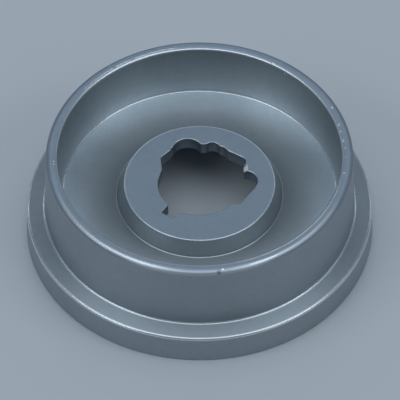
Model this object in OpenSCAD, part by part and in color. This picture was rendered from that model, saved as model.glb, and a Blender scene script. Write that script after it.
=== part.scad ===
// Bezel of a stove knob: one cast metal dish with a stepped foot and a keyed opening.
// Millimetres. The origin is the middle of the foot's flat underside, and +Z points out
// of the appliance. The key slot is at the lower left when the dish is seen from above.

/* [Foot] */
// Outer diameter of the foot at its top edge
foot_d = 70.6; // [68:0.2:76]
// Height of the foot's outer edge
foot_h = 6.4; // [5.2:0.1:8]
// How much higher the foot's top is where the dish wall stands on it
foot_rise = 0.85; // [0.3:0.05:1.4]
// Round on the foot's outer top edge
foot_edge_r = 0.5; // [0.2:0.05:0.9]
// Thickness of the foot's outer wall at the floor
skirt_t = 2.4; // [1.8:0.1:3.2]

/* [Dish wall] */
// Height of the rim over the foot's underside
body_h = 22.4; // [20:0.1:26]
// Outer diameter of the wall where it leaves the foot
wall_foot_d = 63.2; // [62:0.1:65]
// Outer diameter of the wall at the rim
rim_d = 62.5; // [60:0.1:63]
// Inner diameter of the wall at the rim
mouth_d = 57.8; // [56:0.1:58.6]
// Inner diameter of the wall at the dish floor
dish_d = 56.2; // [54:0.1:57]
// Round on the rim's outer edge
rim_outer_r = 0.65; // [0.2:0.05:0.9]
// Round on the rim's inner edge
rim_inner_r = 0.25; // [0.1:0.05:0.5]

/* [Dish floor] */
// Height of the dish floor over the foot's underside
dish_z = 10.4; // [9.6:0.1:11.6]
// Thickness of the dish floor
floor_t = 2.1; // [1.6:0.1:2.6]
// Radius of the inside corners that can be seen
corner_r = 0.35; // [0.1:0.05:0.6]

/* [Hub] */
// Diameter of the hub's flat top
hub_d = 30.8; // [29.6:0.1:32]
// Diameter of the hub where it meets the dish floor
hub_foot_d = 33.8; // [33:0.1:36]
// Height of the hub over the dish floor
hub_h = 3.5; // [2.4:0.1:5]
// Thickness of the hub's plate around the opening
hub_t = 2.9; // [2:0.1:3.4]
// Round on the hub's top edge
hub_edge_r = 0.2; // [0.1:0.05:0.5]
// Diameter of the recess under the hub at its roof
recess_d = 29.2; // [28:0.1:29.6]

/* [Keyed opening] */
// Diameter of the opening's round side
stem_d = 17; // [16:0.1:17.4]
// Radius of the round lobe at the back
back_lobe_r = 3.18; // [2.8:0.02:3.4]
// How far the back lobe reaches from the axis
back_lobe_reach = 12.28; // [12:0.02:12.4]
// Radius of the small lobe beside the back lobe
small_lobe_r = 1.75; // [1.5:0.05:2]
// How far the small lobe reaches from the axis
small_lobe_reach = 11.35; // [11.1:0.05:11.6]
// Radius of the lobe at the side
side_lobe_r = 2.7; // [2.5:0.05:2.9]
// How far the side lobe reaches from the axis
side_lobe_reach = 11.87; // [11.6:0.01:12.2]
// Distance of the stop tooth's flat tip from the opening's mid plane
tooth_x = 9; // [8.8:0.05:9.3]
// Width of the bright ramp that is cut on the tooth's top edge
ramp_w = 0.75; // [0.3:0.05:1]
// Depth of the ramp
ramp_h = 0.7; // [0.3:0.05:1]
// Width of the key slot
key_w = 2.85; // [2.4:0.05:3.2]
// How far the key slot reaches from the axis
key_reach = 10.9; // [10.6:0.1:11.6]
// Round on the opening's corners
opening_corner_r = 0.2; // [0.1:0.05:0.3]

/* [Hidden] */

finish = [0.44, 0.48, 0.53];
// Draft of the cast walls, in degrees
foot_draft = 1.5;
inner_draft = 3;
// Radii of the corners that can't be seen from the front
under_corner_r = 0.6;
under_edge_r = 0.4;
foot_ease_r = 0.3;
// Wall between the dish's outer face and the hollow under its floor
hollow_wall = 2.7;

// Angles of the opening's round lobes and slot about the axis
back_lobe_a = 105.5;
small_lobe_a = 74.6;
side_lobe_a = 4;
key_a = -127;
// The key slot along its own axis, as [distance out, across, corner radius]
key_slot = [
    [stem_d / 4, -key_w / 2, 0],
    [stem_d / 2, -key_w / 2 - 0.15, 0.6],
    [key_reach, -key_w / 2, 0],
    [key_reach, key_w / 2, 0],
    [stem_d / 2 + 0.6, key_w / 2, 1.2],
    [stem_d / 2 - 0.6, key_w / 2 + 1.7, 0],
    [stem_d / 4, key_w / 2, 0],
];
// Where the tooth's ramp starts and ends
ramp_y = [3, 4.9];

// Corners of the opening's wide right side, as [x, y, corner radius], from the front
right_side = [
    [0, -5.6, 0],
    [8.3, -5.6, 0.7],
    [10, -3, 0],
    [10.3, -2.6, 0],
    [11.45, -1, 0],
    [side_lobe_reach - side_lobe_r, 0.5, 0],
    [tooth_x, 2.7, 0],
    [tooth_x, 4.9, 0],
    [9.4, 5.2, 0],
    [9.4, 6.6, 1.1],
    [5.8, 8.75, 0],
    [5, 9.7, 0.4],
    [3, 10.4, 0],
    [0, 10.5, 0],
];
// Corners of its narrow left side, from the back to where it meets the round side
left_foot = polar(stem_d / 2, 174.5);
left_side = [
    [0, 10, 0],
    [-5.9, 9.5, 0],
    [-5.9, 8.95, 0],
    [-7.95, 6.85, 0.25],
    [-7.65, 3.7, 0.5],
    [left_foot.x, left_foot.y, 0],
    [0, left_foot.y, 0],
];

// Heights of the faces that the others follow
wall_foot_z = foot_h + foot_rise;
floor_under_z = dish_z - floor_t;
hub_z = dish_z + hub_h;
hub_under_z = hub_z - hub_t;
foot_under_z = foot_h - skirt_t;

// Radii of the outline's corners
foot_r = foot_d / 2;
foot_bottom_r = foot_r + foot_h * tan(foot_draft);
skirt_bottom_r = foot_bottom_r - skirt_t;
skirt_top_r = skirt_bottom_r - foot_under_z * tan(inner_draft);
hollow_bottom_r = wall_foot_d / 2 - hollow_wall;
hollow_top_r = hollow_bottom_r - (floor_under_z - foot_under_z) * tan(inner_draft);
recess_r = recess_d / 2;
recess_mouth_r = recess_r + (hub_under_z - floor_under_z) * tan(inner_draft);

arc_steps = 8;
through = 1;

// The half section, as [radius, height, corner radius], from the foot's inner edge outwards
section = [
    [skirt_bottom_r, 0, foot_ease_r],
    [foot_bottom_r, 0, foot_ease_r],
    [foot_r, foot_h, foot_edge_r],
    [wall_foot_d / 2, wall_foot_z, corner_r],
    [rim_d / 2, body_h, rim_outer_r],
    [mouth_d / 2, body_h, rim_inner_r],
    [dish_d / 2, dish_z, corner_r],
    [hub_foot_d / 2, dish_z, corner_r],
    [hub_d / 2, hub_z, hub_edge_r],
    [0, hub_z, 0],
    [0, hub_under_z, 0],
    [recess_r, hub_under_z, under_corner_r],
    [recess_mouth_r, floor_under_z, under_edge_r],
    [hollow_top_r, floor_under_z, under_corner_r],
    [hollow_bottom_r, foot_under_z, under_edge_r],
    [skirt_top_r, foot_under_z, under_corner_r],
];

function unit(v) = v / norm(v);
function flat(p) = [p.x, p.y];
function polar(r, a) = r * [cos(a), sin(a)];

// The arc of radius r that rounds the corner p between the neighbours a and b
function corner_arc(a, p, b, r) =
    let (
        u = unit(a - p),
        w = unit(b - p),
        half = acos(u * w) / 2,
        centre = p + unit(u + w) * r / sin(half),
        start = p + u * r / tan(half) - centre,
        stop = p + w * r / tan(half) - centre,
        first = atan2(start.y, start.x),
        sweep = atan2(cross(start, stop), start * stop)
    )
    [for (i = [0:arc_steps]) centre + polar(r, first + sweep * i / arc_steps)];

// A closed outline whose corners are [x, y, corner radius], with its corners rounded
function rounded(outline) =
    let (n = len(outline))
    [
        for (i = [0:n - 1])
            let (p = outline[i], a = outline[(i + n - 1) % n], b = outline[(i + 1) % n])
            each p.z > 0 ? corner_arc(flat(a), flat(p), flat(b), p.z) : [flat(p)]
    ];

// A round lobe whose far side lies at reach from the axis
module lobe(a, reach, r) {
    rotate(a) translate([reach - r, 0]) circle(r = r);
}

// The round side of the opening: the part of its circle in front of the left side
module stem_side() {
    difference() {
        circle(d = stem_d);
        translate([-stem_d, left_foot.y]) square([stem_d, stem_d]);
    }
}

// The keyed opening, seen from above
module opening_outline() {
    stem_side();
    polygon(rounded(right_side));
    polygon(rounded(left_side));
    lobe(back_lobe_a, back_lobe_reach, back_lobe_r);
    lobe(small_lobe_a, small_lobe_reach, small_lobe_r);
    lobe(side_lobe_a, side_lobe_reach, side_lobe_r);
    rotate(key_a) polygon(rounded(key_slot));
}

// The ramp on the stop tooth, cut down towards the opening's middle
module tooth_ramp() {
    translate([tooth_x, ramp_y[0], hub_z - ramp_h])
        rotate([0, -atan2(ramp_h, ramp_w), 0])
            translate([-ramp_w, 0, 0]) cube([4 * ramp_w, ramp_y[1] - ramp_y[0], 2 * ramp_h]);
}

module knob_bezel() {
    color(finish) difference() {
        rotate_extrude($fn = 180) polygon(rounded(section));
        translate([0, 0, hub_under_z - through])
            linear_extrude(hub_t + 2 * through)
                offset(r = -opening_corner_r, $fn = 24)
                    offset(r = 2 * opening_corner_r, $fn = 24)
                        offset(r = -opening_corner_r, $fn = 24)
                            opening_outline($fn = 72);
        tooth_ramp();
    }
}

knob_bezel();
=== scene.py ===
"""Looks of a stove knob's bezel: one cast metal dish with a stepped foot and a keyed opening."""

import logging
import math
from collections.abc import Iterator, Sequence
from contextlib import contextmanager
from dataclasses import dataclass, field

import bmesh
import bpy
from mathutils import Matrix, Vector

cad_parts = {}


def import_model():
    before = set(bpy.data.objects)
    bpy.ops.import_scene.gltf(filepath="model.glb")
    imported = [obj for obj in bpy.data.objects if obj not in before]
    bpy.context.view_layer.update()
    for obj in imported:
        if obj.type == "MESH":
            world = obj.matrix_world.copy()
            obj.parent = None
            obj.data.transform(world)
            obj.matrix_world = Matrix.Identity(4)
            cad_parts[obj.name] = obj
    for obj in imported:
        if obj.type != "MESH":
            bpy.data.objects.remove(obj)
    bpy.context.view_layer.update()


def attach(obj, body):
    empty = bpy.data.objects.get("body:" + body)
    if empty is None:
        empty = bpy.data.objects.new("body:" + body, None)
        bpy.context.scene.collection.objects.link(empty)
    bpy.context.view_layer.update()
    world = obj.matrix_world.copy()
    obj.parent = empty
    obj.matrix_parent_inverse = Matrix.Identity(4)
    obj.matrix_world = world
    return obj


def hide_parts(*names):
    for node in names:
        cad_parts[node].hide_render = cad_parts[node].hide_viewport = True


LOG = logging.getLogger("bezel")
NODE = "knob_bezel"

Point = tuple[float, float]
Corner = tuple[float, float, float]
Tint = tuple[float, float, float]
# From where to where a soft step goes
Span = tuple[float, float]

# One millimetre in the scene's metres
MM = 0.001
# What counts as nil where something is divided by it
TINY = 1e-9
# How far past its ends a side is still met, as a share of its length
SLACK = 1e-6
# The shares of a spot's width at which it starts to fade and ends
SPOT_CORE = 0.3
SPOT_EDGE = 0.6

# The softboxes' light, and the metal's tint where it was turned and where it was only blasted
COOL: Tint = (0.88, 1.0, 1.1)
TURNED_TINT: Tint = (0.428, 0.468, 0.495)
BLASTED_TINT: Tint = (0.406, 0.468, 0.54)


def unit(x: float, y: float) -> Point:
    """The direction of a flat vector, at length one."""
    length = math.hypot(x, y)
    return x / length, y / length


def corner_arc(before: Corner, corner: Corner, after: Corner, steps: int) -> list[Point]:
    """The arc that rounds one corner of a flat outline.

    Args:
        before: The neighbour that the outline comes from.
        corner: The corner, with its radius as the third value.
        after: The neighbour that the outline goes to.
        steps: How many straight pieces the arc has.

    Returns:
        The arc's points in order, or the bare corner where its radius is nil.
    """
    x, y, radius = corner
    if radius <= 0:
        return [(x, y)]
    ux, uy = unit(before[0] - x, before[1] - y)
    wx, wy = unit(after[0] - x, after[1] - y)
    half = math.acos(max(-1.0, min(1.0, ux * wx + uy * wy))) / 2
    bx, by = unit(ux + wx, uy + wy)
    cx, cy = x + bx * radius / math.sin(half), y + by * radius / math.sin(half)
    reach = radius / math.tan(half)
    sx, sy = x + ux * reach - cx, y + uy * reach - cy
    ex, ey = x + wx * reach - cx, y + wy * reach - cy
    first = math.atan2(sy, sx)
    sweep = math.atan2(sx * ey - sy * ex, sx * ex + sy * ey)
    angles = [first + sweep * i / steps for i in range(steps + 1)]
    return [(cx + radius * math.cos(a), cy + radius * math.sin(a)) for a in angles]


def rounded(corners: Sequence[Corner], steps: int, closed: bool) -> list[Point]:
    """An outline with its corners rounded.

    Args:
        corners: The corners as (x, y, radius), in order.
        steps: How many straight pieces each arc has.
        closed: Whether the last corner joins the first.

    Returns:
        The outline's points in order.
    """
    count = len(corners)
    points: list[Point] = []
    for i, corner in enumerate(corners):
        if not closed and i in (0, count - 1):
            points.append(corner[:2])
            continue
        points += corner_arc(corners[i - 1], corner, corners[(i + 1) % count], steps)
    return points


class Workpiece:
    """One mesh object that is shaped in edit mode."""

    def __init__(self, obj: bpy.types.Object, name: str) -> None:
        """Takes over an object under a new name.

        Args:
            obj: The object, such as a primitive that was just added.
            name: The name of the object and its mesh.
        """
        self.obj = obj
        obj.name = name
        obj.data.name = name

    def activate(self) -> None:
        """Makes this piece the only selected object and the active one."""
        bpy.ops.object.select_all(action="DESELECT")
        self.obj.select_set(True)
        bpy.context.view_layer.objects.active = self.obj

    @contextmanager
    def editing(self) -> Iterator[bmesh.types.BMesh]:
        """Edit mode on this piece.

        Returns:
            The mesh that is being edited.
        """
        self.activate()
        bpy.ops.object.mode_set(mode="EDIT")
        bpy.ops.mesh.select_mode(type="VERT")
        edited = bmesh.from_edit_mesh(self.obj.data)
        yield edited
        bpy.ops.object.mode_set(mode="OBJECT")

    def apply(self, modifier: bpy.types.Modifier) -> None:
        """Applies one modifier to the mesh."""
        self.activate()
        bpy.ops.object.modifier_apply(modifier=modifier.name)


def deselect() -> None:
    """Deselects every object."""
    bpy.ops.object.select_all(action="DESELECT")


@dataclass(frozen=True)
class Section:
    """Sizes of the turned half section, in millimetres."""

    foot_r: float = 35.3
    foot_h: float = 6.4
    foot_bottom_r: float = 35.44
    skirt_r: float = 33.07
    skirt_top_r: float = 32.86
    foot_under_z: float = 4.0
    wall_foot_r: float = 31.6
    wall_foot_z: float = 7.25
    rim_r: float = 31.25
    rim_z: float = 22.4
    mouth_r: float = 28.9
    land_r: float = 29.7
    land_drop: float = 0.13
    dish_r: float = 28.1
    dish_z: float = 10.4
    hub_foot_r: float = 16.9
    hub_r: float = 15.4
    hub_z: float = 13.9
    hub_under_z: float = 11.0
    seam_top_r: float = 14.4
    seam_under_r: float = 13.2
    recess_r: float = 14.6
    recess_mouth_r: float = 14.74
    floor_under_z: float = 8.3
    hollow_top_r: float = 28.67
    hollow_r: float = 28.9
    hub_round: float = 0.2
    dish_round: float = 0.35
    mouth_round: float = 0.3
    land_round: float = 0.4
    rim_round: float = 0.95
    wall_foot_round: float = 0.45
    foot_round: float = 0.5
    foot_ease: float = 0.3
    under_corner: float = 0.6
    under_edge: float = 0.4

    def corners(self) -> list[Corner]:
        """The section from the hub's top outwards, down and back under the hub."""
        return [
            (self.seam_top_r, self.hub_z, 0),
            (self.hub_r, self.hub_z, self.hub_round),
            (self.hub_foot_r, self.dish_z, self.dish_round),
            (self.dish_r, self.dish_z, self.dish_round),
            (self.mouth_r, self.rim_z - self.land_drop, self.mouth_round),
            (self.land_r, self.rim_z, self.land_round),
            (self.rim_r, self.rim_z, self.rim_round),
            (self.wall_foot_r, self.wall_foot_z, self.wall_foot_round),
            (self.foot_r, self.foot_h, self.foot_round),
            (self.foot_bottom_r, 0, self.foot_ease),
            (self.skirt_r, 0, self.foot_ease),
            (self.skirt_top_r, self.foot_under_z, self.under_corner),
            (self.hollow_r, self.foot_under_z, self.under_edge),
            (self.hollow_top_r, self.floor_under_z, self.under_corner),
            (self.recess_mouth_r, self.floor_under_z, self.under_edge),
            (self.recess_r, self.hub_under_z, self.under_corner),
            (self.seam_under_r, self.hub_under_z, 0),
        ]


@dataclass(frozen=True)
class Lobe:
    """A round bay of the opening, whose far side lies at reach from the axis."""

    angle: float
    reach: float
    radius: float

    def far(self, direction: float) -> float:
        """How far the axis sees before the bay's far side.

        Args:
            direction: Where it looks, in degrees.

        Returns:
            The distance, or nil where the bay isn't met.
        """
        centre = self.reach - self.radius
        turn = math.radians(direction - self.angle)
        aside = centre * math.sin(turn)
        if math.cos(turn) < 0 or abs(aside) > self.radius:
            return 0.0
        return centre * math.cos(turn) + math.sqrt(self.radius**2 - aside**2)


@dataclass(frozen=True)
class Flank:
    """A straight-sided part of the opening, turned by an angle in degrees."""

    corners: tuple[Corner, ...]
    turn: float = 0.0
    arc_steps: int = 8

    def outline(self) -> list[Point]:
        """The flank's rounded outline, turned into place."""
        cos, sin = math.cos(math.radians(self.turn)), math.sin(math.radians(self.turn))
        points = rounded(self.corners, self.arc_steps, closed=True)
        return [(x * cos - y * sin, x * sin + y * cos) for x, y in points]

    def reaches(self, directions: Sequence[float]) -> list[float]:
        """How far the axis sees in each direction before the flank's outermost side.

        Args:
            directions: The directions in degrees.

        Returns:
            The distances, with nil where the flank isn't met.
        """
        points = self.outline()
        sides = list(zip(points, points[1:] + points[:1]))
        found = []
        for direction in directions:
            dx, dy = math.cos(math.radians(direction)), math.sin(math.radians(direction))
            best = 0.0
            for (ax, ay), (bx, by) in sides:
                ex, ey = bx - ax, by - ay
                cross = dx * ey - dy * ex
                if abs(cross) < TINY:
                    continue
                along = (ax * ey - ay * ex) / cross
                part = (ax * dy - ay * dx) / cross
                if along > best and -SLACK <= part <= 1 + SLACK:
                    best = along
            found.append(best)
        return found


@dataclass(frozen=True)
class KeyedOpening:
    """The opening in the hub, in millimetres, seen from above with the key slot front left."""

    stem_r: float = 8.5
    stem_from: float = 174.5
    stem_to: float = 330.0
    back_lobe: Lobe = Lobe(105.5, 12.28, 3.18)
    small_lobe: Lobe = Lobe(74.6, 11.35, 1.75)
    side_lobe: Lobe = Lobe(4.0, 11.87, 2.7)
    left_foot: Point = (-8.46, 0.815)
    tooth_x: float = 9.0
    ramp_w: float = 0.75
    ramp_h: float = 0.7
    ramp_y: Point = (3.0, 4.9)
    key_turn: float = -127.0
    key_w: float = 2.85
    key_reach: float = 10.9

    # The rays that find the outline, its evenly spaced points, and how they are softened
    ray_step: float = 0.1
    stations: int = 600
    softness: float = 0.13
    spread: int = 3

    def right_side(self) -> Flank:
        """The wide right side with the stop tooth, from the front to the back."""
        return Flank(
            (
                (0, -5.6, 0),
                (8.3, -5.6, 0.7),
                (10, -3, 0),
                (10.3, -2.6, 0),
                (11.45, -1, 0),
                (self.side_lobe.reach - self.side_lobe.radius, 0.5, 0),
                (self.tooth_x, 2.7, 0),
                (self.tooth_x, self.ramp_y[1], 0),
                (9.4, 5.2, 0),
                (9.4, 6.6, 1.1),
                (5.8, 8.75, 0),
                (5, 9.7, 0.4),
                (3, 10.4, 0),
                (0, 10.5, 0),
            )
        )

    def left_side(self) -> Flank:
        """The narrow left side, from the back to where it meets the round side."""
        foot_x, foot_y = self.left_foot
        return Flank(
            (
                (0, 10, 0),
                (-5.9, 9.5, 0),
                (-5.9, 8.95, 0),
                (-7.95, 6.85, 0.25),
                (-7.65, 3.7, 0.5),
                (foot_x, foot_y, 0),
                (0, foot_y, 0),
            )
        )

    def key_slot(self) -> Flank:
        """The key slot with its drawn-out corner, along its own axis."""
        start, aside = self.stem_r / 2, self.key_w / 2
        return Flank(
            (
                (start, -aside, 0),
                (self.stem_r, -aside - 0.15, 0.6),
                (self.key_reach, -aside, 0),
                (self.key_reach, aside, 0),
                (self.stem_r + 0.6, aside, 1.2),
                (self.stem_r - 0.6, aside + 1.7, 0),
                (start, aside, 0),
            ),
            turn=self.key_turn,
        )

    def rays(self) -> list[Point]:
        """The opening's outline as the axis sees it.

        Returns:
            The outline's points, counter-clockwise from +X.
        """
        directions = [i * self.ray_step for i in range(round(360 / self.ray_step))]
        found = [
            self.stem_r if self.stem_from <= a <= self.stem_to else 0.0 for a in directions
        ]
        for lobe in (self.back_lobe, self.small_lobe, self.side_lobe):
            found = [max(r, lobe.far(a)) for r, a in zip(found, directions)]
        for flank in (self.right_side(), self.left_side(), self.key_slot()):
            found = [max(pair) for pair in zip(found, flank.reaches(directions))]
        return [
            (r * math.cos(math.radians(a)), r * math.sin(math.radians(a)))
            for r, a in zip(found, directions)
        ]

    def stationed(self) -> tuple[list[Point], float]:
        """The outline at even spacing.

        Returns:
            The outline's points, and how far apart they lie.
        """
        points = self.rays()
        closed = points + points[:1]
        lengths = [0.0]
        for (ax, ay), (bx, by) in zip(closed, closed[1:]):
            lengths.append(lengths[-1] + math.hypot(bx - ax, by - ay))
        spacing = lengths[-1] / self.stations
        even: list[Point] = []
        k = 0
        for i in range(self.stations):
            goal = i * spacing
            while lengths[k + 1] < goal:
                k += 1
            t = (goal - lengths[k]) / max(lengths[k + 1] - lengths[k], TINY)
            (ax, ay), (bx, by) = closed[k], closed[k + 1]
            even.append((ax + t * (bx - ax), ay + t * (by - ay)))
        return even, spacing

    def outline(self) -> list[Point]:
        """The outline at even spacing, with its corners softened as a casting's are.

        Returns:
            The outline's points, as many as there are stations.
        """
        even, spacing = self.stationed()
        reach = math.ceil(self.spread * self.softness / spacing)
        offsets = range(-reach, reach + 1)
        weights = [math.exp(-0.5 * (j * spacing / self.softness) ** 2) for j in offsets]
        total = sum(weights)
        soft: list[Point] = []
        for i in range(self.stations):
            near = [even[(i + j) % self.stations] for j in offsets]
            x = sum(w * p[0] for w, p in zip(weights, near)) / total
            y = sum(w * p[1] for w, p in zip(weights, near)) / total
            soft.append((x, y))
        return soft


@dataclass
class Bezel:
    """The whole cast bezel, with its lengths in millimetres and its angles in degrees."""

    section: Section = field(default_factory=Section)
    opening: KeyedOpening = field(default_factory=KeyedOpening)
    turns: int = 360
    arc_steps: int = 6

    # The rounds on the opening's edges, and the cube that cuts the tooth's ramp
    top_edge_r: float = 0.16
    top_edge_steps: int = 4
    under_edge_r: float = 0.1
    under_edge_steps: int = 3
    cutter_size: float = 3.0

    # How near two points are one, how near a face is to a level, and how upright its normal is
    weld: float = 0.002
    level_slack: float = 0.01
    level_normal: float = 0.9999

    # The shading: the angle of a sharp edge, and how much the larger faces count
    sharp_angle: float = 35.0
    flat_weight: int = 80

    # The turned rings' strength, and where the blasted faces begin
    rings: float = 0.66
    blasted_margin: float = 0.1
    blasted_rim: float = 1.0
    downward: float = -0.2

    def build(self) -> Workpiece:
        """Models the bezel.

        Returns:
            The finished piece.
        """
        dish = self.turned_dish()
        plate = self.opening_wall()
        self.join(dish, plate)
        self.cut_ramp(dish)
        self.smooth(dish)
        self.dress(dish)
        return dish

    def turned_dish(self) -> Workpiece:
        """Spins the half section round the axis and leaves the hub's middle open.

        Returns:
            The dish, without the hub's two flat faces.
        """
        path = rounded(self.section.corners(), self.arc_steps, closed=False)
        deselect()
        bpy.ops.mesh.primitive_plane_add(size=MM)
        piece = Workpiece(bpy.context.object, "knob_bezel_dressed")
        with piece.editing():
            bpy.ops.mesh.select_all(action="SELECT")
            bpy.ops.mesh.merge(type="CENTER")
            r, z = path[0]
            bpy.ops.transform.translate(value=(r * MM, 0, z * MM))
            for (r0, z0), (r1, z1) in zip(path, path[1:]):
                step = ((r1 - r0) * MM, 0, (z1 - z0) * MM)
                bpy.ops.mesh.extrude_vertices_move(TRANSFORM_OT_translate={"value": step})
            bpy.ops.mesh.select_all(action="SELECT")
            bpy.ops.mesh.spin(
                steps=self.turns, angle=math.tau, center=(0, 0, 0), axis=(0, 0, 1)
            )
            bpy.ops.mesh.select_all(action="SELECT")
            bpy.ops.mesh.remove_doubles(threshold=self.weld * MM)
        return piece

    def opening_wall(self) -> Workpiece:
        """Draws the opening's wall down from its rounded top edge to its lower edge.

        Returns:
            The wall, open at both ends.
        """
        outline = self.opening.outline()
        count = len(outline)
        normals: list[Point] = []
        for i in range(count):
            (ax, ay), (bx, by) = outline[i - 1], outline[(i + 1) % count]
            normals.append(unit(by - ay, ax - bx))
        deselect()
        bpy.ops.mesh.primitive_circle_add(vertices=count, radius=self.opening.stem_r * MM)
        piece = Workpiece(bpy.context.object, "opening_wall")
        with piece.editing() as mesh:
            station = mesh.verts.layers.int.new("station")
            mesh.verts.ensure_lookup_table()
            for i, vert in enumerate(mesh.verts):
                vert[station] = i
            bpy.ops.mesh.select_all(action="SELECT")
            for k, (aside, z) in enumerate(self.wall_steps()):
                if k:
                    bpy.ops.mesh.extrude_edges_move()
                for vert in mesh.verts:
                    if vert.select:
                        (x, y), (nx, ny) = outline[vert[station]], normals[vert[station]]
                        vert.co = Vector((x + aside * nx, y + aside * ny, z)) * MM
            bmesh.update_edit_mesh(piece.obj.data)
        return piece

    def wall_steps(self) -> list[Point]:
        """The opening wall's steps, round its top edge and down to its lower edge.

        Returns:
            The steps, as (distance into the metal, height).
        """
        top, under = self.section.hub_z, self.section.hub_under_z
        edge, lip = self.top_edge_r, self.under_edge_r
        steps: list[Point] = []
        for k in range(self.top_edge_steps + 1):
            a = math.radians(90 * k / self.top_edge_steps)
            steps.append((edge * (1 - math.sin(a)), top - edge * (1 - math.cos(a))))
        for k in range(self.under_edge_steps + 1):
            a = math.radians(90 * k / self.under_edge_steps)
            steps.append((lip * (1 - math.cos(a)), under + lip * (1 - math.sin(a))))
        return steps

    def lies_at(self, height: float, level: float) -> bool:
        """Whether a height in the mesh is at a level that is given in millimetres."""
        return abs(height - level * MM) < self.level_slack * MM

    def join(self, dish: Workpiece, plate: Workpiece) -> None:
        """Joins the opening's wall to the dish, and fills the hub's two flat faces.

        Args:
            dish: The turned dish, open in the middle of its hub.
            plate: The opening's wall, which becomes part of the dish.
        """
        dish.activate()
        plate.obj.select_set(True)
        bpy.ops.object.join()
        for level in (self.section.hub_z, self.section.hub_under_z):
            with dish.editing() as mesh:
                bpy.ops.mesh.select_mode(type="EDGE")
                bpy.ops.mesh.select_all(action="DESELECT")
                for edge in mesh.edges:
                    level_edge = all(self.lies_at(v.co.z, level) for v in edge.verts)
                    if level_edge and (edge.is_boundary or edge.is_wire):
                        edge.select_set(True)
                bpy.ops.mesh.fill(use_beauty=True)
        with dish.editing():
            bpy.ops.mesh.select_all(action="SELECT")
            bpy.ops.mesh.normals_make_consistent(inside=False)

    def cut_ramp(self, dish: Workpiece) -> None:
        """Cuts the ramp on the stop tooth's top edge, whose face the finish paints bright as a
        highlight.

        Args:
            dish: The closed piece.
        """
        opening = self.opening
        slope = math.atan2(opening.ramp_h, opening.ramp_w)
        low, high = opening.ramp_y
        size = self.cutter_size
        deselect()
        bpy.ops.mesh.primitive_cube_add(size=1)
        cutter = Workpiece(bpy.context.object, "ramp_cutter")
        with cutter.editing():
            bpy.ops.mesh.select_all(action="SELECT")
            bpy.ops.transform.resize(value=(size * MM, (high - low) * MM, size * MM))
            bpy.ops.transform.translate(value=(0, 0, size / 2 * MM))
        cutter.obj.rotation_euler = (0, -slope, 0)
        cutter.obj.location = (
            opening.tooth_x * MM,
            (low + high) / 2 * MM,
            (self.section.hub_z - opening.ramp_h) * MM,
        )
        cutter.activate()
        bpy.ops.object.transform_apply()
        cut = dish.obj.modifiers.new("ramp", "BOOLEAN")
        cut.operation, cut.solver, cut.object = "DIFFERENCE", "EXACT", cutter.obj
        dish.apply(cut)
        bpy.data.objects.remove(cutter.obj)

    def dress(self, dish: Workpiece) -> None:
        """Gives the turned faces and the blasted ones their own finish.

        Args:
            dish: The finished piece.
        """
        s = self.section
        materials = dish.obj.data.materials
        materials.clear()
        for finish in (
            SatinCastMetal("turned_metal", s, self.opening, TURNED_TINT, self.rings),
            SatinCastMetal("blasted_metal", s, self.opening, BLASTED_TINT),
        ):
            materials.append(finish.material())
            LOG.info("finish %s", finish.name)
        hub_r, hub_z = s.hub_r - self.blasted_margin, s.hub_under_z - self.blasted_margin
        for face in dish.obj.data.polygons:
            x, y, z = (value / MM for value in face.center)
            on_hub = math.hypot(x, y) < hub_r and z > hub_z
            on_rim = z > s.rim_z - self.blasted_rim
            below = face.normal.z < self.downward
            face.material_index = int(on_hub or on_rim or below)

    def smooth(self, dish: Workpiece) -> None:
        """Shades the piece smooth, with the hub's flat faces kept flat.

        Args:
            dish: The closed piece.
        """
        dish.activate()
        bpy.ops.object.shade_smooth_by_angle(angle=math.radians(self.sharp_angle))
        levels = (self.section.hub_z, self.section.hub_under_z)
        for face in dish.obj.data.polygons:
            on_level = any(self.lies_at(face.center.z, level) for level in levels)
            if on_level and abs(face.normal.z) > self.level_normal:
                face.use_smooth = False
        even = dish.obj.modifiers.new("even", "WEIGHTED_NORMAL")
        even.keep_sharp, even.weight = True, self.flat_weight
        dish.apply(even)


class Socket:
    """A number or a colour that comes out of a shader node, for use in sums."""

    def __init__(self, bench: "ShaderBench", source: bpy.types.NodeSocket) -> None:
        """Wraps a node's output.

        Args:
            bench: The material's bench, which adds the nodes.
            source: The output that the value comes from.
        """
        self.bench = bench
        self.source = source

    def __add__(self, other: "Value") -> "Socket":
        """The sum."""
        return self.bench.math("ADD", self, other)

    def __radd__(self, other: float) -> "Socket":
        """The sum, from a plain number."""
        return self.bench.math("ADD", other, self)

    def __sub__(self, other: "Value") -> "Socket":
        """The difference."""
        return self.bench.math("SUBTRACT", self, other)

    def __rsub__(self, other: float) -> "Socket":
        """The difference, from a plain number."""
        return self.bench.math("SUBTRACT", other, self)

    def __mul__(self, other: "Value") -> "Socket":
        """The product."""
        return self.bench.math("MULTIPLY", self, other)

    def __rmul__(self, other: float) -> "Socket":
        """The product, from a plain number."""
        return self.bench.math("MULTIPLY", other, self)

    def __truediv__(self, other: "Value") -> "Socket":
        """The quotient."""
        return self.bench.math("DIVIDE", self, other)

    def above(self, low: "Value", high: "Value") -> "Socket":
        """Nil under low, one over high, and a soft step between them."""
        return self.bench.ramp(self, low, high)

    def near(self, middle: float, inner: float, outer: float) -> "Socket":
        """One within inner of the middle, nil beyond outer, and soft between them."""
        return 1.0 - self.bench.math("ABSOLUTE", self - middle).above(inner, outer)

    def within(self, width: float) -> "Socket":
        """Where this is a distance: one in a spot of that width, with a soft edge, or nil."""
        return 1.0 - self.above(width * SPOT_CORE, width * SPOT_EDGE)

    def swing(self, by: float) -> "Socket":
        """Where this is a noise: its swing round nil, by half of that much to either side."""
        return (self - 0.5) * by


Value = Socket | float


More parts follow.
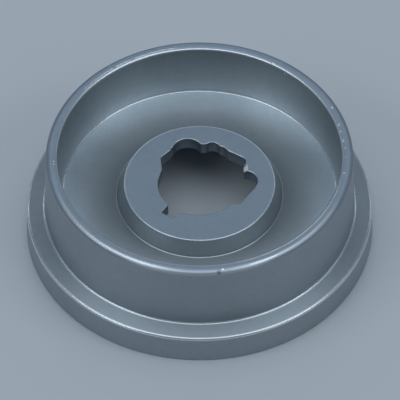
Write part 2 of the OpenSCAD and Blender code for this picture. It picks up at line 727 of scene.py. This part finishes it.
@dataclass(frozen=True)
class Place:
    """The point that is shaded, in millimetres from the piece's origin.

    Its distance from the axis is r, and its turn is the angle round the axis, in degrees. Ahead
    is one at the very front of the piece and minus one at its back.
    """

    bench: "ShaderBench"
    point: Socket
    x: Socket
    y: Socket
    z: Socket
    r: Socket
    turn: Socket
    ahead: Socket


class ShaderBench:
    """Builds one material's nodes."""

    def __init__(self, name: str) -> None:
        """Starts a material with the usual metal shader.

        Args:
            name: The material's name.
        """
        self.material = bpy.data.materials.new(name)
        self.material.use_nodes = True
        self.tree = self.material.node_tree
        self.shader = self.tree.nodes["Principled BSDF"]

    def node(
        self, kind: str, settings: dict[str, object], sockets: dict[str | int, object]
    ) -> bpy.types.Node:
        """Adds a node.

        Args:
            kind: The node's type.
            settings: Its settings, which are set before its sockets.
            sockets: A value or a Socket for each of its inputs, by name or number.

        Returns:
            The node.
        """
        made = self.tree.nodes.new(kind)
        for key, setting in settings.items():
            setattr(made, key, setting)
        for key, value in sockets.items():
            self.feed(made.inputs[key], value)
        return made

    def feed(self, target: bpy.types.NodeSocket, value: object) -> None:
        """Links a Socket to an input, or sets the input to a plain value.

        Args:
            target: The input.
            value: A Socket, a number, a vector or, for a colour, a tint.
        """
        if isinstance(value, Socket):
            self.tree.links.new(value.source, target)
        elif target.type == "RGBA":
            target.default_value = (*value, 1)
        else:
            target.default_value = value

    def dress(self, looks: dict[str, object]) -> None:
        """Feeds the shader's own inputs, by name."""
        for name, value in looks.items():
            self.feed(self.shader.inputs[name], value)

    def math(self, operation: str, *values: Value) -> Socket:
        """The outcome of a Math node."""
        made = self.node("ShaderNodeMath", {"operation": operation}, dict(enumerate(values)))
        return Socket(self, made.outputs[0])

    def largest(self, best: Socket, *others: Socket) -> Socket:
        """The largest of some values.

        Args:
            best: The first value.
            others: The other ones.

        Returns:
            The largest.
        """
        for value in others:
            best = self.math("MAXIMUM", best, value)
        return best

    def ramp(self, value: Value, low: Value, high: Value) -> Socket:
        """A soft step.

        Args:
            value: The value that goes over the step.
            low: Where the step is nil.
            high: Where it is one.

        Returns:
            The step's height there.
        """
        made = self.node(
            "ShaderNodeMapRange",
            {"interpolation_type": "SMOOTHSTEP"},
            {"Value": value, "From Min": low, "From Max": high},
        )
        return Socket(self, made.outputs["Result"])

    def place(self) -> Place:
        """The point that is shaded.

        Returns:
            The point, with its place round the axis.
        """
        coords = self.node("ShaderNodeTexCoord", {}, {})
        scaled = self.node(
            "ShaderNodeVectorMath",
            {"operation": "SCALE"},
            {0: Socket(self, coords.outputs["Object"]), "Scale": 1 / MM},
        )
        point = Socket(self, scaled.outputs["Vector"])
        parts = self.node("ShaderNodeSeparateXYZ", {}, {0: point})
        x, y, z = (Socket(self, parts.outputs[i]) for i in range(3))
        r = self.math("SQRT", x * x + y * y)
        turn = self.math("ARCTAN2", y, x) * math.degrees(1)
        return Place(self, point, x, y, z, r, turn, ahead=y / r * -1.0)

    def noise(self, where: Socket, size: float, detail: float = 2.0) -> Socket:
        """Cloudy noise between nil and one.

        Args:
            where: The point, in millimetres.
            size: The size of the clouds, in millimetres.
            detail: How many finer layers the clouds have.

        Returns:
            The noise.
        """
        made = self.node(
            "ShaderNodeTexNoise", {}, {"Vector": where, "Scale": 1 / size, "Detail": detail}
        )
        return Socket(self, made.outputs["Fac"])

    def blend(self, share: Value, under: Socket | Tint, over: Tint) -> Socket:
        """A colour that goes from one to another.

        Args:
            share: How far it goes, from nil to one.
            under: The colour at nil.
            over: The colour at one.

        Returns:
            The mixed colour.
        """
        made = self.node(
            "ShaderNodeMix",
            {"data_type": "RGBA", "clamp_factor": True},
            {"Factor": share, 6: under, 7: over},
        )
        return Socket(self, made.outputs[2])

    def brighten(self, color: Socket, by: Socket) -> Socket:
        """A colour times a number."""
        made = self.node(
            "ShaderNodeVectorMath", {"operation": "SCALE"}, {0: color, "Scale": by}
        )
        return Socket(self, made.outputs["Vector"])

    def bump(self, height: Socket, depth: float, under: Socket | None = None) -> Socket:
        """A bumped normal.

        Args:
            height: The height of the bumps, between nil and one.
            depth: How deep they go, in millimetres.
            under: A bumped normal that these bumps lie on.

        Returns:
            The normal.
        """
        sockets: dict[str | int, object] = {"Height": height, "Distance": depth * MM}
        if under is not None:
            sockets["Normal"] = under
        made = self.node("ShaderNodeBump", {}, sockets)
        return Socket(self, made.outputs["Normal"])


@dataclass(frozen=True)
class Band:
    """A stretch of the way round the axis, in degrees, with soft ends."""

    middle: float
    inner: float
    outer: float

    def mask(self, at: Place) -> Socket:
        """One within inner of the middle, nil beyond outer, and soft between them."""
        return at.turn.near(self.middle, self.inner, self.outer)


@dataclass(frozen=True)
class Specks:
    """Scattered specks: how far their places lie apart, how wide and how many they are.

    The share is that of the places which hold a speck.
    """

    spacing: float
    width: float
    share: float
    margin: float = 0.01

    def mask(self, at: Place) -> Socket:
        """How much of a speck is seen at a place.

        Args:
            at: The place.

        Returns:
            One on a speck and nil beside it.
        """
        bench = at.bench
        cells = bench.node(
            "ShaderNodeTexVoronoi", {}, {"Vector": at.point, "Scale": 1 / self.spacing}
        )
        parts = bench.node(
            "ShaderNodeSeparateColor", {}, {0: Socket(bench, cells.outputs["Color"])}
        )
        empty = 1 - self.share
        chosen = Socket(bench, parts.outputs[0]).above(empty - self.margin, empty)
        away = Socket(bench, cells.outputs["Distance"]) * self.spacing
        return chosen * away.within(self.width)


@dataclass(frozen=True)
class Layer:
    """A layer of noise in the metal: the size of its clouds, and how much it changes each look.

    Sizes and depths are in millimetres. The metal's shade and roughness swing by half of the
    layer's values to either side.
    """

    size: float
    detail: float
    shade: float = 0.0
    rough: float = 0.0
    depth: float = 0.0

    def noise(self, at: Place) -> Socket:
        """The layer's noise at a place, between nil and one."""
        return at.bench.noise(at.point, self.size, self.detail)


@dataclass(frozen=True)
class Spot:
    """A round bright spot on the rim.

    It has its angle and radius about the axis, its width and how far under the rim's top it is.
    """

    angle: float
    radius: float
    width: float
    drop: float = 0.0

    def mask(self, at: Place, level: float) -> Socket:
        """How much of the spot is seen at a place.

        Args:
            at: The place.
            level: The height of the rim's top.

        Returns:
            One on the spot and nil beside it.
        """
        turn = math.radians(self.angle)
        middle = (self.radius * math.cos(turn), self.radius * math.sin(turn), level - self.drop)
        away = at.bench.node(
            "ShaderNodeVectorMath", {"operation": "DISTANCE"}, {0: at.point, 1: middle}
        )
        return Socket(at.bench, away.outputs["Value"]).within(self.width)


@dataclass(frozen=True)
class WearAndHighlightLine:
    """A bright line round the axis, where an edge or a corner is worn, with a painted highlight
    on it.

    The radius and the height are those of the section's corner. The line's middle lies out and
    up from there, because the corner is round. The share says how bright the line is, and so
    how strong its painted highlight is.
    """

    radius: float
    height: float
    width: Value
    share: Value = 1.0
    out: float = 0.0
    up: float = 0.0
    core: float = 0.6

    def mask(self, at: Place, wander: Socket) -> Socket:
        """How much of the line is seen at a place.

        Args:
            at: The place.
            wander: How far the line's edge strays there, in millimetres.

        Returns:
            The line's share on it and nil beside it.
        """
        aside, above = at.r - (self.radius + self.out), at.z - (self.height + self.up)
        away = at.bench.math("SQRT", aside * aside + above * above) + wander
        return (1.0 - away.above(self.width * self.core, self.width)) * self.share


@dataclass(frozen=True)
class Faces:
    """Masks of the bezel's faces: one on the face and nil elsewhere, with a soft border."""

    section: Section
    at: Place

    def dish_floor(self) -> Socket:
        """The dish's flat floor."""
        s, at = self.section, self.at
        inside = 1.0 - at.r.above(s.dish_r + 0.2, s.dish_r + 0.5)
        return at.z.near(s.dish_z, 0.1, 0.35) * inside

    def dish_wall(self) -> Socket:
        """The inner wall."""
        s, at = self.section, self.at
        return at.r.near(s.dish_r + 0.4, 0.4, 0.6) * at.z.above(s.dish_z + 0.2, s.dish_z + 0.5)

    def hub_cone(self) -> Socket:
        """The hub's sloping side."""
        s, at = self.section, self.at
        middle = (s.hub_z + s.dish_z) / 2
        return at.z.near(middle, 1.3, 1.6) * at.r.near(s.hub_foot_r - 0.7, 0.9, 1.3)

    def hub_top(self) -> Socket:
        """The hub's flat top."""
        s, at = self.section, self.at
        level = at.z.above(s.hub_z - 0.2, s.hub_z - 0.1)
        return (1.0 - at.r.above(s.hub_r - 0.2, s.hub_r)) * level

    def hollow(self) -> Socket:
        """The opening's wall, and the recess's roof round it."""
        s, at = self.section, self.at
        within = 1.0 - at.r.above(s.seam_top_r - 0.6, s.seam_top_r - 0.4)
        return within * (1.0 - at.z.above(s.hub_z - 0.3, s.hub_z - 0.1))

    def lip(self) -> Socket:
        """The opening's rounded top edge."""
        s, at = self.section, self.at
        within = 1.0 - at.r.above(s.seam_top_r - 0.5, s.seam_top_r)
        return at.z.near(s.hub_z - 0.09, 0.06, 0.085) * within

    def foot_top(self) -> Socket:
        """The foot's sloping top."""
        s, at = self.section, self.at
        beyond = at.r.above(s.wall_foot_r, s.wall_foot_r + 0.4)
        return beyond * at.z.above(s.foot_h - 0.1, s.foot_h)

    def outside(self) -> Socket:
        """The outer wall and all that lies beyond it."""
        s, at = self.section, self.at
        return at.r.above(s.rim_r - 0.55, s.rim_r - 0.15)

    def brow(self) -> Socket:
        """The rim's round outer edge."""
        s, at = self.section, self.at
        beyond = at.r.above(s.rim_r - 0.6, s.rim_r - 0.4)
        return beyond * at.z.near(s.rim_z - 0.3, 0.15, 0.5)

    def rim_top(self) -> Socket:
        """The rim's flat top."""
        s, at = self.section, self.at
        return at.z.above(s.rim_z - 0.25, s.rim_z - 0.15)


@dataclass(frozen=True)
class SatinCastMetal:
    """Satin cast metal: cool grey, finely grained, with bright worn edges and a few marks.
    Its colour also holds painted light and shade on the faces, and painted highlights on the
    edges, on the rim's outer round, in a ring by the mouth and on the ramp.

    A face that was turned has fine rings round the axis, which stretch its highlights towards
    the axis. A face that was only blasted has none.
    """

    name: str
    section: Section
    opening: KeyedOpening
    tint: Tint
    rings: float = 0.0
    rings_turn: float = 0.25
    outer: Tint = TURNED_TINT
    # Bright worn metal, which is also the colour of the painted highlights on edges, on the rim's
    # outer round, in the ring by the mouth and on the ramp
    wear_and_highlight: Tint = (0.94, 0.95, 0.95)
    steep: Tint = (0.45, 0.48, 0.49)
    dull: Tint = (0.29, 0.31, 0.33)
    roughness: float = 0.47
    clouds: Layer = Layer(size=7.0, detail=3.0, shade=0.16, rough=0.12)
    mottle: Layer = Layer(size=1.3, detail=2.0, shade=0.13)
    grain: Layer = Layer(size=0.22, detail=1.0, shade=0.1, rough=0.1, depth=0.0035)
    waves: Layer = Layer(size=2.6, detail=2.0, depth=0.012)

    # Painted light and shade: how much lighter or darker each face is painted than plain metal
    painted_floor_at_hub: float = -0.37
    painted_floor_rise: float = 0.55
    painted_floor_curve: float = 0.9
    cone_painted_light: float = 0.2
    wall_painted_light: float = 0.75
    wall_painted_fade: float = 0.035
    foot_painted_light: float = 0.16
    hollow_painted_shade: float = -0.3
    top_painted_shade: float = -0.08

    # What wear, painted highlights, marks, pits, the rim's outer round and the ramp do to the
    # metal
    polish: float = 0.24
    # Edges are made less metallic, so that their white, partly a painted highlight, shows from
    # every side
    edge_dulling: float = 0.2
    edge_wander: float = 0.1
    mark_and_highlight_share: float = 0.9
    mark_depth: float = 0.03
    pits: Specks = Specks(spacing=2.4, width=0.34, share=0.16)
    pit_share: float = 0.4
    # How strong the painted highlight on the rim's outer round is at the front, and how matt that
    # round is behind
    brow_painted_highlight: float = 0.75
    brow_rough: float = 0.35
    ramp_highlight_dulling: float = 0.85

    # Painted highlights on the worn edges round the piece, their strength on the rim's outer
    # edge, and its nick
    back_left: Band = Band(125.0, 12.0, 32.0)
    front_left: Band = Band(-130.0, 16.0, 36.0)
    front_left_highlight: float = 0.85
    front_right: Band = Band(-52.0, 12.0, 32.0)
    front_right_highlight: float = 0.55
    highlight_flare: Band = Band(-65.0, 4.0, 7.0)
    highlight_flare_share: float = 0.35
    front_highlight: float = 0.1
    nick: Band = Band(-82.8, 0.45, 0.95)

    # Where it differs from the back of the piece, at minus one, to its front, at one
    back_fade: Span = (-0.5, 0.1)
    front_fade: Span = (-0.5, -0.1)
    brow_matt: Span = (-0.1, 0.5)
    brow_highlight_front: Span = (0.84, 0.97)

    # The marks on the rim: a scratch that breaks up into dashes, dots and spots, and a faint
    # painted highlight ring
    dashes: Layer = Layer(size=0.9, detail=1.0)
    dash_ends: Span = (0.4, 0.47)
    scratch: Band = Band(121.0, 20.0, 22.5)
    scratch_r: float = 29.65
    scratch_width: Span = (0.1, 0.18)
    scratch_whole: Span = (126.0, 131.0)
    wander: Layer = Layer(size=5.0, detail=1.0)
    wander_width: float = 0.2
    ring_out: float = 0.37
    ring_width: Span = (0.07, 0.27)
    ring_gaps: float = 0.4
    front_ring_highlight: Band = Band(-75.0, 40.0, 70.0)
    front_ring_highlight_share: float = 0.3
    right_ring_highlight: Band = Band(-45.0, 20.0, 40.0)
    right_ring_highlight_share: float = 0.45
    dots: Specks = Specks(spacing=1.5, width=0.24, share=0.08)
    dot_share: float = 0.6
    spots: tuple[Spot, ...] = (
        Spot(25.6, 30.0, 0.6),
        Spot(16.6, 29.5, 0.65),
        Spot(12.9, 29.4, 0.5),
        Spot(8.0, 29.35, 0.6),
        Spot(4.0, 29.65, 0.5),
        Spot(-0.5, 29.65, 0.42),
        Spot(-9.0, 29.6, 0.5),
        Spot(-177.2, 29.6, 0.42),
        Spot(-175.6, 29.6, 0.36),
        Spot(59.0, 29.15, 0.8),
        Spot(52.6, 28.75, 0.55, drop=0.7),
        Spot(-81.2, 30.5, 0.65),
    )

    def material(self) -> bpy.types.Material:
        """Builds the finish.

        Returns:
            The material.
        """
        bench = ShaderBench(self.name)
        at = bench.place()
        faces = Faces(self.section, at)
        cloud, mottle, grain, waves = (
            layer.noise(at) for layer in (self.clouds, self.mottle, self.grain, self.waves)
        )
        whole = 1.0 - self.nick.mask(at)
        edge = self.edges(faces, mottle, whole)
        marks_and_ring_highlight = self.marks_and_ring_highlight(faces)
        pits = self.pits.mask(at)
        ramp = self.ramp(at)
        brow = faces.brow()
        wall = faces.dish_wall()

        # The metal's random tone, times the painted light and shade of each face
        shade = 1.0 + cloud.swing(self.clouds.shade) + mottle.swing(self.mottle.shade)
        shade = (shade + grain.swing(self.grain.shade)) * self.painted_light(faces, wall)
        base = bench.blend(wall, self.tint, self.steep)
        base = bench.blend(faces.outside(), base, self.outer)
        color = bench.brighten(base, shade)
        for share, over in (
            (pits * self.pit_share, self.dull),
            # Edges take wear with painted highlights
            (edge, self.wear_and_highlight),
            # The marks hold a painted highlight ring by the mouth
            (marks_and_ring_highlight * self.mark_and_highlight_share, self.wear_and_highlight),
            # The rim's outer round is painted a highlight at the front
            (brow * at.ahead.above(*self.brow_highlight_front) * whole * self.brow_painted_highlight, self.wear_and_highlight),
            # The ramp's face is painted white as a highlight
            (ramp, self.wear_and_highlight),
        ):
            color = bench.blend(share, color, over)

        rough = self.roughness + cloud.swing(self.clouds.rough) + grain.swing(self.grain.rough)
        rough = rough - bench.largest(edge, marks_and_ring_highlight) * self.polish
        rough = rough + brow * (1.0 - at.ahead.above(*self.brow_matt)) * self.brow_rough
        skin = bench.bump(waves, self.waves.depth)
        skin = bench.bump(grain, self.grain.depth, skin)
        skin = bench.bump(marks_and_ring_highlight, self.mark_depth, skin)
        bench.dress(
            {
                "Base Color": color,
                # The ramp and the edges are less metallic, so that their white shows: a painted
                # highlight on the ramp, wear with painted highlights on the edges
                "Metallic": 1.0 - ramp * self.ramp_highlight_dulling - edge * self.edge_dulling,
                "Roughness": rough,
                "Normal": skin,
                "Anisotropic": self.rings,
                "Anisotropic Rotation": self.rings_turn,
            }
        )
        return bench.material

    def painted_light(self, faces: Faces, wall: Socket) -> Socket:
        """Painted light and shade: how light each face is painted against plain metal.

        Args:
            faces: The masks of the faces.
            wall: The mask of the dish's wall, which is used elsewhere too.

        Returns:
            A factor for the metal's colour, which paints light and shade. The floor is painted
            darker near the hub and lighter out to the wall, the wall darker from the floor up,
            the hub's cone and the foot's top lighter, and the opening's wall, the recess's roof
            and the hub's top darker.
        """
        s, at = self.section, faces.at
        out = (at.r - s.hub_foot_r) / (s.dish_r - s.hub_foot_r)
        floor = (out * self.painted_floor_curve + self.painted_floor_rise) * out + self.painted_floor_at_hub
        return (
            1.0
            + faces.dish_floor() * floor
            + faces.hub_cone() * self.cone_painted_light
            + wall * (self.wall_painted_light - at.z * self.wall_painted_fade)
            + faces.foot_top() * self.foot_painted_light
            + faces.hollow() * self.hollow_painted_shade
            + faces.hub_top() * self.top_painted_shade
        )

    def edges(self, faces: Faces, mottle: Socket, whole: Socket) -> Socket:
        """Where the edges and corners are worn or turned bright, with painted highlights on them.

        Args:
            faces: The masks of the faces.
            mottle: The noise that makes the wear and its painted highlights uneven.
            whole: Nil in the nick in the rim's outer edge, and one elsewhere.

        Returns:
            One on the worn edges with their painted highlights, and nil beside them.
        """
        s, at = self.section, faces.at
        # How bright and wide the lines are round the piece paints highlights where the light
        # catches them: the mouth's line at the back and back left, the rim's outer edge at the
        # front left, front right and a flare
        behind = 1.0 - at.ahead.above(*self.back_fade)
        back_left, front_left = self.back_left.mask(at), self.front_left.mask(at)
        mouth_width, mouth = back_left * 0.1 + 0.31, behind * 0.6 + 0.4
        rim = (
            front_left * self.front_left_highlight
            + self.front_right.mask(at) * self.front_right_highlight
            + self.highlight_flare.mask(at) * self.highlight_flare_share
            + at.ahead.above(*self.front_fade) * self.front_highlight
        ) * whole
        lines = (
            WearAndHighlightLine(s.mouth_r, s.rim_z - s.land_drop, mouth_width, mouth, out=0.05),
            WearAndHighlightLine(s.rim_r, s.rim_z, front_left * 0.06 + 0.38, rim, out=-0.74, up=-0.01),
            WearAndHighlightLine(s.foot_r, s.foot_h, 0.45, out=-0.14, up=-0.03),
            WearAndHighlightLine(s.hub_r, s.hub_z, 0.25, 0.8),
            WearAndHighlightLine(s.wall_foot_r, s.wall_foot_z, 0.3, out=0.24, up=0.05),
            WearAndHighlightLine(s.dish_r, s.dish_z, 0.28, out=-0.17, up=0.06),
            WearAndHighlightLine(s.hub_foot_r, s.dish_z, 0.17, 0.45, out=0.05, up=0.05),
        )
        wander = mottle.swing(self.edge_wander)
        return at.bench.largest(*(line.mask(at, wander) for line in lines), faces.lip())

    def ramp(self, at: Place) -> Socket:
        """The face of the ramp that was cut on the stop tooth, painted white as a highlight.

        Args:
            at: The place.

        Returns:
            One on the ramp and nil beside it.
        """
        o = self.opening
        foot = self.section.hub_z - o.ramp_h
        off = at.x - o.tooth_x - (at.z - foot) * (o.ramp_w / o.ramp_h)
        low, high = o.ramp_y
        across = at.y.near((low + high) / 2, (high - low) / 2 - 0.1, (high - low) / 2)
        return off.near(0.0, 0.06, 0.12) * across * at.z.above(foot - 0.02, foot + 0.04)

    def marks_and_ring_highlight(self, faces: Faces) -> Socket:
        """The fine light lines, dots and scratches on the rim, the spots where it is chipped, and
        a faint painted highlight ring by the mouth at the front.

        Args:
            faces: The masks of the faces.

        Returns:
            One on a mark and nil beside it.
        """
        s, at = self.section, faces.at
        wander = self.wander.noise(at).swing(self.wander_width)
        dashes = self.dashes.noise(at).above(*self.dash_ends)
        solid = at.bench.largest(dashes, at.turn.above(*self.scratch_whole))
        scratch = (at.r + wander).near(self.scratch_r, *self.scratch_width)
        scratch = scratch * self.scratch.mask(at) * solid
        # The ring by the mouth at the front and front right is a painted highlight
        band = self.front_ring_highlight.mask(at) * self.front_ring_highlight_share
        band = band + self.right_ring_highlight.mask(at) * self.right_ring_highlight_share
        ring_highlight = at.r.near(s.mouth_r + self.ring_out, *self.ring_width) * band
        ring_highlight = ring_highlight * (dashes * self.ring_gaps + (1 - self.ring_gaps))
        dots = self.dots.mask(at) * self.dot_share
        flat = at.bench.largest(dots, scratch, ring_highlight) * faces.rim_top()
        return at.bench.largest(flat, *(spot.mask(at, s.rim_z) for spot in self.spots))


@dataclass(frozen=True)
class Lamp:
    """A square softbox that aims at the origin: where it hangs, its size and its power.

    Its azimuth is counted from the front to the right and its elevation from the floor, in
    degrees. The sizes are in metres and the power is in watts.
    """

    name: str
    azimuth: float
    elevation: float
    size: float
    power: float
    distance: float = 0.75
    color: Tint = COOL

    def place(self) -> None:
        """Hangs the softbox so that it faces the bezel."""
        light = bpy.data.lights.new(self.name, "AREA")
        light.shape, light.size = "SQUARE", self.size
        light.energy, light.color = self.power, self.color
        lamp = bpy.data.objects.new(self.name, light)
        bpy.context.scene.collection.objects.link(lamp)
        turn, rise = math.radians(self.azimuth), math.radians(self.elevation)
        away = Vector(
            (math.sin(turn) * math.cos(rise), -math.cos(turn) * math.cos(rise), math.sin(rise))
        )
        lamp.location = away * self.distance
        lamp.rotation_euler = away.to_track_quat("Z", "Y").to_euler()


@dataclass(frozen=True)
class Camera:
    """A long lens that looks down at the bezel from the front.

    The elevation is in degrees, and the view's width and the target are in millimetres on the
    bezel. It sees what lies between nearest and farthest, as shares of its distance.
    """

    elevation: float = 49.44
    lens: float = 700.0
    sensor: float = 36.0
    view_width: float = 81.73
    target: tuple[float, float, float] = (0.086, 0.0, 8.52)
    nearest: float = 0.1
    farthest: float = 20.0

    def place(self) -> None:
        """Sets the camera up and makes it the scene's own."""
        data = bpy.data.cameras.new("camera")
        data.lens, data.sensor_width = self.lens, self.sensor
        distance = self.view_width * self.lens / self.sensor * MM
        data.clip_start, data.clip_end = distance * self.nearest, distance * self.farthest
        camera = bpy.data.objects.new("camera", data)
        bpy.context.scene.collection.objects.link(camera)
        rise = math.radians(self.elevation)
        away = Vector((0, -math.cos(rise), math.sin(rise)))
        camera.location = Vector(self.target) * MM + away * distance
        camera.rotation_euler = away.to_track_quat("Z", "Y").to_euler()
        bpy.context.scene.camera = camera


@dataclass(frozen=True)
class Studio:
    """The pale floor, the soft light round it and the camera."""

    floor_size: float = 4.0
    floor_cuts: int = 3
    floor_color: Tint = (0.78, 0.79, 0.80)
    floor_rough: float = 0.9
    floor_sheen: float = 0.2
    sky_color: Tint = (0.68, 0.9, 1.16)
    sky_strength: float = 0.135
    camera: Camera = Camera()
    lamps: tuple[Lamp, ...] = (
        Lamp("top_softbox", 0, 90, 0.68, 1.34),
        Lamp("left_softbox", -76, 45, 0.22, 0.25),
        Lamp("left_side_softbox", -98, 38, 0.22, 0.06),
        Lamp("left_front_softbox", -52, 43, 0.22, 0.26),
        Lamp("right_front_softbox", 50, 43, 0.22, 0.18),
        Lamp("right_softbox", 74, 45, 0.22, 0.28),
        Lamp("right_side_softbox", 98, 38, 0.22, 0.06),
        Lamp("back_softbox", 180, 38, 0.35, 0.215),
        Lamp("left_back_softbox", -140, 35, 0.1, 0.05),
        Lamp("right_back_softbox", 140, 35, 0.1, 0.05),
    )

    def build(self) -> None:
        """Lays the floor, hangs the lamps and sets the camera."""
        self.floor()
        LOG.info("floor %g m wide", self.floor_size)
        self.sky()
        for lamp in self.lamps:
            lamp.place()
            LOG.info("lamp %s", lamp.name)
        self.camera.place()
        bpy.context.scene.view_settings.view_transform = "Standard"

    def floor(self) -> None:
        """Lays the plain pale floor."""
        deselect()
        bpy.ops.mesh.primitive_plane_add(size=self.floor_size)
        piece = Workpiece(bpy.context.object, "floor")
        with piece.editing():
            bpy.ops.mesh.select_all(action="SELECT")
            bpy.ops.mesh.subdivide(number_cuts=self.floor_cuts)
        paint = ShaderBench("floor_paint")
        paint.dress(
            {
                "Base Color": self.floor_color,
                "Roughness": self.floor_rough,
                "Specular IOR Level": self.floor_sheen,
            }
        )
        piece.obj.data.materials.append(paint.material)

    def sky(self) -> None:
        """Fills the room with even soft light."""
        world = bpy.data.worlds.new("room")
        world.use_nodes = True
        background = world.node_tree.nodes["Background"]
        background.inputs["Color"].default_value = (*self.sky_color, 1)
        background.inputs["Strength"].default_value = self.sky_strength
        bpy.context.scene.world = world


def main() -> None:
    """Builds the bezel in its frame and lights it."""
    logging.basicConfig(level=logging.INFO, format="%(name)s: %(message)s")
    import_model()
    bezel = Bezel().build()
    LOG.info("bezel has %d faces", len(bezel.obj.data.polygons))
    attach(bezel.obj, "root")
    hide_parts(NODE)
    Studio().build()


if __name__ == "__main__":
    main()
